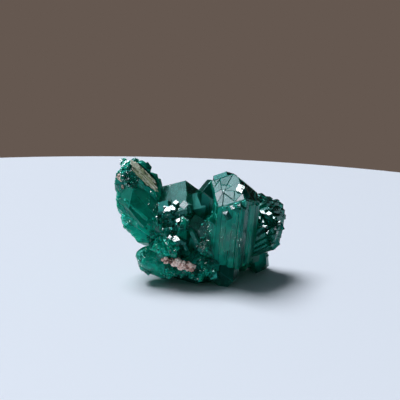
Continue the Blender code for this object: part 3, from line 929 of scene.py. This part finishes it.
@dataclass(frozen=True)
class DioptaseFinish:
    """Dioptase as grown: a glassy copper silicate, deep emerald where thick and teal where thin.

    Fresh faces are as bright as glass. Fine growth lines run along the prism faces, the rhomb faces are a
    little etched, and veils and cracks inside make some crystals milky.
    """

    deep: str = "006a58"
    pale: str = "08c8a8"
    absorbed: tuple[float, float, float] = (0.0, 0.867, 0.833)      # what the volume lets pass, by channel
    density: float = 800.0                                          # absorbed per metre where that is 0
    ior: float = 1.67
    gloss: str = "50fff0"
    glare: str = "e8fffc"
    glow: tuple[float, float, float] = (0.15, 1.0, 0.8)     # how far light wanders in the milky parts, by channel
    glow_reach: float = 1.0                                 # in millimetres
    rib_width: float = 0.16                                         # growth lines, millimetres apart
    rib_length: float = 5.0
    etch_width: float = 0.35
    veil_width: float = 1.8

    def material(self) -> bpy.types.Material:
        """Build the material."""
        made = bpy.data.materials.new("dioptase as grown")
        made.use_nodes = True
        tree = made.node_tree
        tree.nodes.clear()
        grain = add_node(tree, "ShaderNodeUVMap", uv_map=GRAIN_MAP)
        place = add_node(tree, "ShaderNodeTexCoord")
        facet = add_node(tree, "ShaderNodeAttribute", attribute_name="facet")
        milk = add_node(tree, "ShaderNodeAttribute", attribute_name="milk")
        lines = add_node(tree, "ShaderNodeMapping", {
            "Vector": grain.outputs["UV"], "Scale": (1.0 / self.rib_width, 1.0 / self.rib_length, 1.0)})
        growth = add_node(tree, "ShaderNodeTexNoise", {
            "Vector": lines.outputs["Vector"], "Scale": 1.0, "Detail": 3.0, "Roughness": 0.6})
        etching = add_node(tree, "ShaderNodeTexNoise", {
            "Vector": place.outputs["Object"], "Scale": 1.0 / (self.etch_width * MM), "Detail": 2.0})
        veils = add_node(tree, "ShaderNodeTexNoise", {
            "Vector": place.outputs["Object"], "Scale": 1.0 / (self.veil_width * MM), "Detail": 4.0,
            "Roughness": 0.6, "Distortion": 0.8})
        cloud = add_node(tree, "ShaderNodeMath", {0: milk.outputs["Fac"], 1: veils.outputs["Fac"]},
                         operation='MULTIPLY')
        polish = add_node(tree, "ShaderNodeMath", {0: facet.outputs["Fac"], 1: 4.0}, operation='POWER')
        clear = add_node(tree, "ShaderNodeMapRange", {
            "Value": cloud.outputs[0], "From Min": 0.05, "From Max": 0.55, "To Min": 0.9, "To Max": 0.35})
        through = add_node(tree, "ShaderNodeMix", {
            0: polish.outputs[0], 2: clear.outputs[0], 3: 0.95}, data_type='FLOAT')
        shade = add_node(tree, "ShaderNodeMapRange", {
            "Value": cloud.outputs[0], "From Min": 0.15, "From Max": 0.6})
        colour = add_node(tree, "ShaderNodeMix", {
            0: shade.outputs[0], 6: linear(self.deep), 7: linear(self.pale)}, data_type='RGBA')
        rough = add_node(tree, "ShaderNodeMapRange", {
            "Value": facet.outputs["Fac"], "To Min": 0.4, "To Max": 0.06})
        coat = add_node(tree, "ShaderNodeMapRange", {
            "Value": polish.outputs[0], "To Min": 0.0, "To Max": 1.0})
        tint = add_node(tree, "ShaderNodeMix", {
            0: polish.outputs[0], 6: linear(self.gloss), 7: linear(self.glare)}, data_type='RGBA')
        ribbed = add_node(tree, "ShaderNodeBump", {
            "Strength": 0.4, "Distance": 0.03 * MM, "Height": growth.outputs["Fac"]})
        waved = add_node(tree, "ShaderNodeBump", {
            "Strength": 0.35, "Distance": 0.2 * MM, "Height": veils.outputs["Fac"],
            "Normal": ribbed.outputs["Normal"]})
        etched = add_node(tree, "ShaderNodeBump", {
            "Strength": 0.4, "Distance": 0.02 * MM, "Height": etching.outputs["Fac"],
            "Normal": waved.outputs["Normal"]})
        shader = add_node(tree, "ShaderNodeBsdfPrincipled", {
            "Base Color": colour.outputs[2], "Roughness": rough.outputs[0], "IOR": self.ior,
            "Transmission Weight": through.outputs[0], "Normal": etched.outputs["Normal"],
            "Subsurface Weight": 1.0, "Subsurface Radius": self.glow, "Subsurface Scale": self.glow_reach * MM,
            "Specular Tint": tint.outputs[2], "Coat Weight": coat.outputs[0], "Coat Roughness": 0.04,
            "Coat IOR": self.ior,
            "Coat Normal": etched.outputs["Normal"]})
        inside = add_node(tree, "ShaderNodeVolumeAbsorption", {
            "Color": (*self.absorbed, 1.0), "Density": self.density})
        add_node(tree, "ShaderNodeOutputMaterial", {
            "Surface": shader.outputs[0], "Volume": inside.outputs[0]})
        return made


@dataclass(frozen=True)
class RockFinish:
    """Weathered rock in grains, each with a shade of its own, dull and rough, with painted shade in the gaps between
    the grains.
    """

    name: str
    shades: tuple[str, str, str]        # dark, middle and pale grains; the dark end is also painted on the body between them as shade
    grit: float = 0.12                  # size of the specks on a grain, in millimetres

    def material(self) -> bpy.types.Material:
        """Build the material."""
        made = bpy.data.materials.new(self.name)
        made.use_nodes = True
        tree = made.node_tree
        tree.nodes.clear()
        place = add_node(tree, "ShaderNodeTexCoord")
        facet = add_node(tree, "ShaderNodeAttribute", attribute_name="facet")
        specks = add_node(tree, "ShaderNodeTexNoise", {
            "Vector": place.outputs["Object"], "Scale": 1.0 / (self.grit * MM), "Detail": 3.0})
        shade = add_node(tree, "ShaderNodeMath", {
            0: facet.outputs["Fac"], 1: specks.outputs["Fac"]}, operation='ADD')
        half = add_node(tree, "ShaderNodeMath", {0: shade.outputs[0], 1: 0.5}, operation='MULTIPLY')
        colour = add_node(tree, "ShaderNodeValToRGB", {"Fac": half.outputs[0]})
        ramp = colour.color_ramp
        ramp.elements[0].position = 0.2
        ramp.elements[0].color = linear(self.shades[0])
        ramp.elements[1].position = 0.8
        ramp.elements[1].color = linear(self.shades[2])
        middle = ramp.elements.new(0.5)
        middle.color = linear(self.shades[1])
        bump = add_node(tree, "ShaderNodeBump", {
            "Strength": 0.7, "Distance": 0.04 * MM, "Height": specks.outputs["Fac"]})
        shader = add_node(tree, "ShaderNodeBsdfPrincipled", {
            "Base Color": colour.outputs["Color"], "Roughness": 0.8, "Normal": bump.outputs["Normal"]})
        add_node(tree, "ShaderNodeOutputMaterial", {"Surface": shader.outputs[0]})
        return made


@dataclass(frozen=True)
class RockScrap:
    """A scrap of the rock the crystals grew on, with its grains or fibres."""

    name: str
    slot: str
    middle: tuple[float, float, float]
    half: tuple[float, float, float]
    lean: float
    toward: float
    turn: float
    lumps: float
    finish: RockFinish
    bits: tuple[Patch, ...]
    sunk: float = 0.0           # how far the body lies below its grains
    fibrous: bool = False
    taper: float = 0.0          # how much lower its first end is than its last

    GRAIN = 1.1                 # size of the lumps on the rock

    def form(self, grow_by: float, levels: int) -> bmesh.types.BMesh:
        """The lumpy body of the scrap, or with grow_by the socket it sits in, in metres."""
        bm = bmesh.new()
        bmesh.ops.create_icosphere(bm, subdivisions=levels, radius=1.0)
        place = (Matrix.Translation(Vector(self.middle)) @ Matrix.Rotation(math.radians(self.toward), 4, 'Z')
                 @ Matrix.Rotation(math.radians(self.lean), 4, 'Y')
                 @ Matrix.Rotation(math.radians(90.0 - self.turn), 4, 'Z'))
        for vert in bm.verts:
            way = vert.co.normalized()
            boxed = Vector([math.copysign(abs(part) ** 0.7, part) for part in way])
            height = self.half[2] * (1.0 + 0.5 * self.taper * (boxed.x - 1.0))
            at = Vector((boxed.x * self.half[0], boxed.y * height, boxed.z * self.half[1]))
            swell = self.lumps * noise(at / self.GRAIN + Vector(self.middle)) * 0.5
            vert.co = at + way * (swell + grow_by)
        bmesh.ops.transform(bm, matrix=Matrix.Scale(MM, 4) @ place, verts=bm.verts[:])
        return bm


def unit_crystals(grower: Grower, count: int) -> list[bpy.types.Mesh]:
    """Small crystals to copy: one unit wide, their root below the origin and their point above it."""
    kinds = []
    for number in range(count):
        tall = grower.dice.uniform(0.45, 0.95)
        bm = grower.grow(Crystal("kind", (0.0, 0.0, 0.0), 0.0, 0.0, 1.0, tall + 0.35,
                                 thin=grower.dice.uniform(0.75, 1.0)))
        bmesh.ops.translate(bm, vec=(0.0, 0.0, tall), verts=bm.verts[:])
        bmesh.ops.recalc_face_normals(bm, faces=bm.faces[:])
        mesh = bpy.data.meshes.new(f"small_crystal_{number}")
        bm.to_mesh(mesh)
        bm.free()
        kinds.append(mesh)
    return kinds


def unit_grains(grower: Grower, count: int, fibrous: bool) -> list[bpy.types.Mesh]:
    """Rock grains to copy, one unit wide: angular crumbs, or slim splinters along +Z."""
    kinds = []
    for number in range(count):
        bm = bmesh.new()
        if fibrous:
            bmesh.ops.create_cone(bm, cap_ends=True, segments=5, radius1=0.5, radius2=0.25, depth=5.0)
        else:
            bmesh.ops.create_icosphere(bm, subdivisions=1, radius=0.5)
        for vert in bm.verts:
            vert.co *= grower.dice.uniform(0.72, 1.15)
        bmesh.ops.recalc_face_normals(bm, faces=bm.faces[:])
        grower.mark(bm, 0.0)
        mesh = bpy.data.meshes.new(f"grain_{number}")
        bm.to_mesh(mesh)
        bm.free()
        kinds.append(mesh)
    return kinds


@dataclass
class Cluster:
    """The dioptase itself: all its crystals as one solid, with sockets for the rock."""

    rocks: list[RockScrap]
    finish: DioptaseFinish = field(default_factory=DioptaseFinish)

    def crystals(self, dice: random.Random) -> list[Crystal]:
        """Every crystal that is grown one by one."""
        great, centre = GREAT_PRISM[0], replace(CENTRE[0], cloud=0.1, shine=0.3)
        edge = replace(great, cloud=0.3)
        slim = (companions(edge, 1, 22, 0.9, 3.0, 0.3, dice) + companions(great, 0, 3, 1.6, 6.0, 0.05, dice)
                + companions(great, 0, 6, 1.3, 0.8, 0.35, dice) + companions(great, 1, 6, 1.1, 0.8, 0.35, dice)
                + companions(great, 5, 8, 1.2, 5.0, 0.2, dice) + companions(centre, 5, 5, 1.6, 1.5, 0.2, dice))
        flashes = [flashing(*flash) for flash in FLASHES]
        return (GREAT_PRISM + CENTRE + fan() + BLADE + RIGHT + RIGHT_BUNDLE.crystals(dice) + RIGHT_FIBRES.crystals(dice) + LOWER_LEFT + BACK + HOLLOW
                + druse(dice) + BASE[:-1] + slim + flashes)

    def build(self, joiner: Joiner) -> bpy.types.Object:
        """Grow, join and cut the crystals.

        Args:
            joiner: What joins and cuts.

        Returns:
            The finished piece.
        """
        dice = random.Random(SEED)
        crystals = self.crystals(dice)
        grower = Grower(dice)
        solid = bpy.data.objects.new("dioptase_cluster", bpy.data.meshes.new("dioptase_cluster"))
        bpy.context.scene.collection.objects.link(solid)
        heart = grower.grow_in_place(BASE[-1])
        heart.to_mesh(solid.data)
        heart.free()
        for crystal in crystals:
            joiner.add(grower.grow_in_place(crystal), crystal.name)
        joiner.apply(solid, 'UNION')
        joiner.keep_skin(solid)
        log.info("joined %d crystals: %d faces", len(crystals) + 1, len(solid.data.polygons))
        kinds = unit_crystals(grower, 16)
        sprinkler = Sprinkler(joiner, dice)
        for name, patches in (("middling", MID_DRUSE), ("very small", MICRO_DRUSE)):
            joined = sprinkler.sprinkle(solid, patches, kinds)
            log.info("joined %d %s crystals: %d faces", joined, name, len(solid.data.polygons))
        for rock in self.rocks:
            joiner.add(rock.form(ROCK_GAP, 4), rock.name + "_socket")
        floor = bmesh.new()
        bmesh.ops.create_cube(floor, size=MM)
        bmesh.ops.scale(floor, vec=(BREAK_WIDTH, BREAK_WIDTH, BREAK_DEPTH), verts=floor.verts[:])
        bmesh.ops.translate(floor, vec=(0.0, 0.0, -0.5 * BREAK_DEPTH * MM), verts=floor.verts[:])
        joiner.add(floor, "flat_break")
        joiner.apply(solid, 'DIFFERENCE')
        joiner.keep_skin(solid)
        solid.data.materials.clear()
        solid.data.materials.append(self.finish.material())
        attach(solid, BODY)
        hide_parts("dioptase_crystals")
        return solid

    def build_rock(self, rock: RockScrap, joiner: Joiner) -> bpy.types.Object:
        """One scrap of rock with its grains, joined in one solid."""
        dice = random.Random(SEED)
        grower = Grower(dice)
        scrap = bpy.data.objects.new(rock.name + "_grains", bpy.data.meshes.new(rock.name))
        bpy.context.scene.collection.objects.link(scrap)
        body = rock.form(-rock.sunk, 4)
        grower.mark(body, 0.0)
        # Painted shade: the sunken body between the grains gets the darkest shade, so the gaps between grains and
        # fibres look shadowed.
        gaps = grower.layer(body, "facet")
        for face in body.faces:
            face[gaps] = 0.0
        body.to_mesh(scrap.data)
        body.free()
        count = Sprinkler(joiner, dice).sprinkle(scrap, list(rock.bits), unit_grains(grower, 10, rock.fibrous))
        joiner.keep_skin(scrap)
        scrap.data.materials.clear()
        scrap.data.materials.append(rock.finish.material())
        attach(scrap, BODY)
        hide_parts(rock.name)
        log.info("%s: %d grains, %d faces", rock.name, count, len(scrap.data.polygons))
        return scrap


def streak(start: tuple[float, float, float], end: tuple[float, float, float], reach: float, parts: int,
           **rest) -> tuple[Patch, ...]:
    """A band of small bits: a row of round patches from one place to another.

    Args:
        start: The middle of the first patch.
        end: The middle of the last.
        reach: How far each spreads.
        parts: How many there are.
        rest: What else a patch says.

    Returns:
        The patches.
    """
    return tuple(Patch(tuple(Vector(start).lerp(Vector(end), k / (parts - 1))), (reach, reach, reach), **rest)
                 for k in range(parts))


FIBRES = {"count": 22, "size": (0.2, 0.5), "facing": (0.0, -1.0, 0.2), "along": (0.7, -0.1, -0.7),
          "stray": 0.07, "mottle": 0.04}

ROCKS = [
    RockScrap("pink_matrix", "pink_rock", (-4.3, -5.2, 5.1), (3.5, 1.5, 1.25), 78, -92, 14, 0.9,
              RockFinish("pink-brown granular rock", ("3a2018", "cfa596", "fff2ea")),
              (Patch((-4.1, -6.4, 5.0), (4.4, 2.6, 2.6), 85, (0.45, 1.2), facing=(0.0, -1.0, 0.1), stray=0.9,
                     mottle=0.35, shade=(0.3, 1.0)),), sunk=0.45, taper=0.5),
    RockScrap("olive_matrix", "olive_rock", (-10.5, -1.0, 20.9), (3.4, 0.9, 1.2), 80, -84, 44, 0.4,
              RockFinish("olive fibrous rock", ("14301f", "a4ae84", "f8f7ee")),
              streak((-12.2, -1.6, 23.3), (-11.3, -1.6, 22.4), 0.6, 3, shade=(0.6, 1.0), **FIBRES)
              + streak((-10.6, -1.6, 21.8), (-9.2, -1.6, 20.5), 0.5, 4, shade=(0.0, 0.9), **FIBRES)
              + streak((-12.0, -1.6, 21.5), (-9.0, -1.6, 19.0), 0.5, 6, shade=(0.1, 1.0), **FIBRES),
              sunk=0.45, fibrous=True),
    RockScrap("rim_matrix", "pale_rock", (-14.9, -0.9, 19.7), (1.7, 0.6, 0.8), 80, -110, 80, 0.3,
              RockFinish("pale rim rock", ("6e5546", "cbb8a6", "fff6ea")),
              (Patch((-14.9, -1.3, 19.7), (1.4, 1.4, 2.2), 140, (0.2, 0.5), facing=(-0.4, -1.0, 0.1),
                     stray=0.8, mottle=0.2, shade=(0.2, 1.0)),), sunk=0.15),
]


@dataclass(frozen=True)
class Table:
    """The plain pale floor: a round matt table top."""

    radius: float = 0.2016
    middle: tuple[float, float] = (-0.0328, -0.0863)
    thickness: float = 0.012
    rounding: float = 0.004
    colour: str = "e3e8ee"

    def build(self) -> bpy.types.Object:
        """Make the table top and its finish."""
        bm = bmesh.new()
        bmesh.ops.create_cone(
            bm, cap_ends=True, segments=256, radius1=self.radius, radius2=self.radius, depth=self.thickness,
            matrix=Matrix.Translation((*self.middle, -0.5 * self.thickness)))
        rim = [edge for edge in bm.edges if all(abs(vert.co.z) < 1e-6 for vert in edge.verts)]
        bmesh.ops.bevel(bm, geom=rim, offset=self.rounding, affect='EDGES', segments=5, profile=0.5, material=-1)
        mesh = bpy.data.meshes.new("table_top")
        bm.to_mesh(mesh)
        bm.free()
        top = bpy.data.objects.new("table_top", mesh)
        bpy.context.scene.collection.objects.link(top)
        made = bpy.data.materials.new("matt pale lacquer")
        made.use_nodes = True
        shader = made.node_tree.nodes["Principled BSDF"]
        shader.inputs["Base Color"].default_value = linear(self.colour)
        shader.inputs["Roughness"].default_value = 0.55
        mesh.materials.append(made)
        return top


@dataclass(frozen=True)
class Studio:
    """A large soft window light from the left, and a plain room round it."""

    aim: tuple[float, float, float] = (0.0, 0.0, 0.012)
    wall: str = "655850"        # just below eye level, behind the table
    dim: str = "222726"         # the unlit room
    ceiling: str = "5c666f"

    def lamp(self, name: str, way: Vector, distance: float, size: tuple[float, float],
             power: float, colour: str, mirrored_only: bool = False) -> bpy.types.Object:
        """Hang one area light.

        Args:
            name: Its name.
            way: From the stone towards the light.
            distance: How far it is, in metres.
            size: Its width and height.
            power: In watts.
            colour: Its colour.
            mirrored_only: Whether it is seen in reflections but lights nothing.

        Returns:
            The light.
        """
        light = bpy.data.lights.new(name, 'AREA')
        light.shape = 'RECTANGLE'
        light.size, light.size_y = size
        light.energy = power
        light.color = linear(colour)[:3]
        lamp = bpy.data.objects.new(name, light)
        there = Vector(self.aim) + way.normalized() * distance
        lamp.location = there
        lamp.rotation_euler = (Vector(self.aim) - there).to_track_quat('-Z', 'Y').to_euler()
        lamp.visible_diffuse = not mirrored_only
        bpy.context.scene.collection.objects.link(lamp)
        return lamp

    def build(self, stone: list[bpy.types.Object]) -> None:
        """Hang the lights and paint the room.

        Args:
            stone: The pieces that the soft fill from the front lights, which leaves their shadow alone.
        """
        self.lamp("key", Lamp.KEY.way, 2.5, (1.3, 1.3), 72.0, "f4f7ff")
        self.lamp("card", Vector((-0.8, -0.05, 0.55)), 1.5, (1.4, 1.0), 10.5, "eef4ff", mirrored_only=True)
        self.lamp("curtain", Lamp.CURTAIN.way, 1.4, (0.6, 0.5), 2.1, "eef4ff", mirrored_only=True)
        self.lamp("pane", Lamp.PANE.way, 1.35, (0.2, 0.2), 2.2, "ffffff", mirrored_only=True)
        fill = self.lamp("fill", Vector((-0.5, -0.75, 0.5)), 2.0, (1.4, 1.4), 11.0, "f4f7ff")
        fill.visible_glossy = False
        lit = bpy.data.collections.new("lit by the fill")
        for piece in stone:
            lit.objects.link(piece)
        fill.light_linking.receiver_collection = lit
        world = bpy.data.worlds.new("room")
        bpy.context.scene.world = world
        world.use_nodes = True
        tree = world.node_tree
        tree.nodes.clear()
        way = add_node(tree, "ShaderNodeTexCoord")
        parts = add_node(tree, "ShaderNodeSeparateXYZ", {0: way.outputs["Generated"]})
        height = add_node(tree, "ShaderNodeMapRange", {
            "Value": parts.outputs["Z"], "From Min": 0.4, "From Max": 0.9})
        room = add_node(tree, "ShaderNodeMix", {
            0: height.outputs[0], 6: linear(self.dim), 7: linear(self.ceiling)}, data_type='RGBA')
        behind = add_node(tree, "ShaderNodeMapRange", {
            "Value": parts.outputs["Y"], "From Min": 0.85, "From Max": 0.95})
        low = add_node(tree, "ShaderNodeMapRange", {
            "Value": parts.outputs["Z"], "From Min": 0.06, "From Max": 0.0})
        share = add_node(tree, "ShaderNodeMath", {0: behind.outputs[0], 1: low.outputs[0]},
                         operation='MULTIPLY')
        shade = add_node(tree, "ShaderNodeMix", {
            0: share.outputs[0], 6: room.outputs[2], 7: linear(self.wall)}, data_type='RGBA')
        light = add_node(tree, "ShaderNodeBackground", {"Color": shade.outputs[2], "Strength": 1.0})
        add_node(tree, "ShaderNodeOutputWorld", {"Surface": light.outputs[0]})


@dataclass(frozen=True)
class Viewpoint:
    """The photograph's view: close, from the front and a little above."""

    lens: float = 85.0
    elevation: float = VIEW_ELEVATION
    distance: float = 0.18
    height: float = 0.01593             # of the point at the picture's centre

    def build(self) -> None:
        """Place the camera."""
        camera = bpy.data.cameras.new("camera")
        camera.lens = self.lens
        camera.clip_start = 0.001
        holder = bpy.data.objects.new("camera", camera)
        rise = math.radians(self.elevation)
        holder.location = (0.0, -self.distance * math.cos(rise), self.height + self.distance * math.sin(rise))
        holder.rotation_euler = (math.radians(90.0) - rise, 0.0, 0.0)
        bpy.context.scene.collection.objects.link(holder)
        bpy.context.scene.camera = holder


def corners(box: tuple) -> list[list[float]]:
    """A box as plain lists of numbers."""
    return [[float(part) for part in corner] for corner in box]


def main() -> None:
    """Build the stone, the table, the light and the camera."""
    logging.basicConfig(level=logging.INFO, format="%(name)s: %(message)s")
    joiner = Joiner()
    cluster = Cluster(ROCKS)
    solid = cluster.build(joiner)
    log.info("%s: %d faces", solid.name, len(solid.data.polygons))
    stone = [solid] + [cluster.build_rock(rock, joiner) for rock in ROCKS]
    Table().build()
    Studio().build(stone)
    Viewpoint().build()
    scene = bpy.context.scene
    scene.view_settings.view_transform = 'Standard'
    scene.cycles.use_denoising = True
    scene.cycles.max_bounces = 16
    scene.cycles.transmission_bounces = 16


if __name__ == "__main__":
    main()
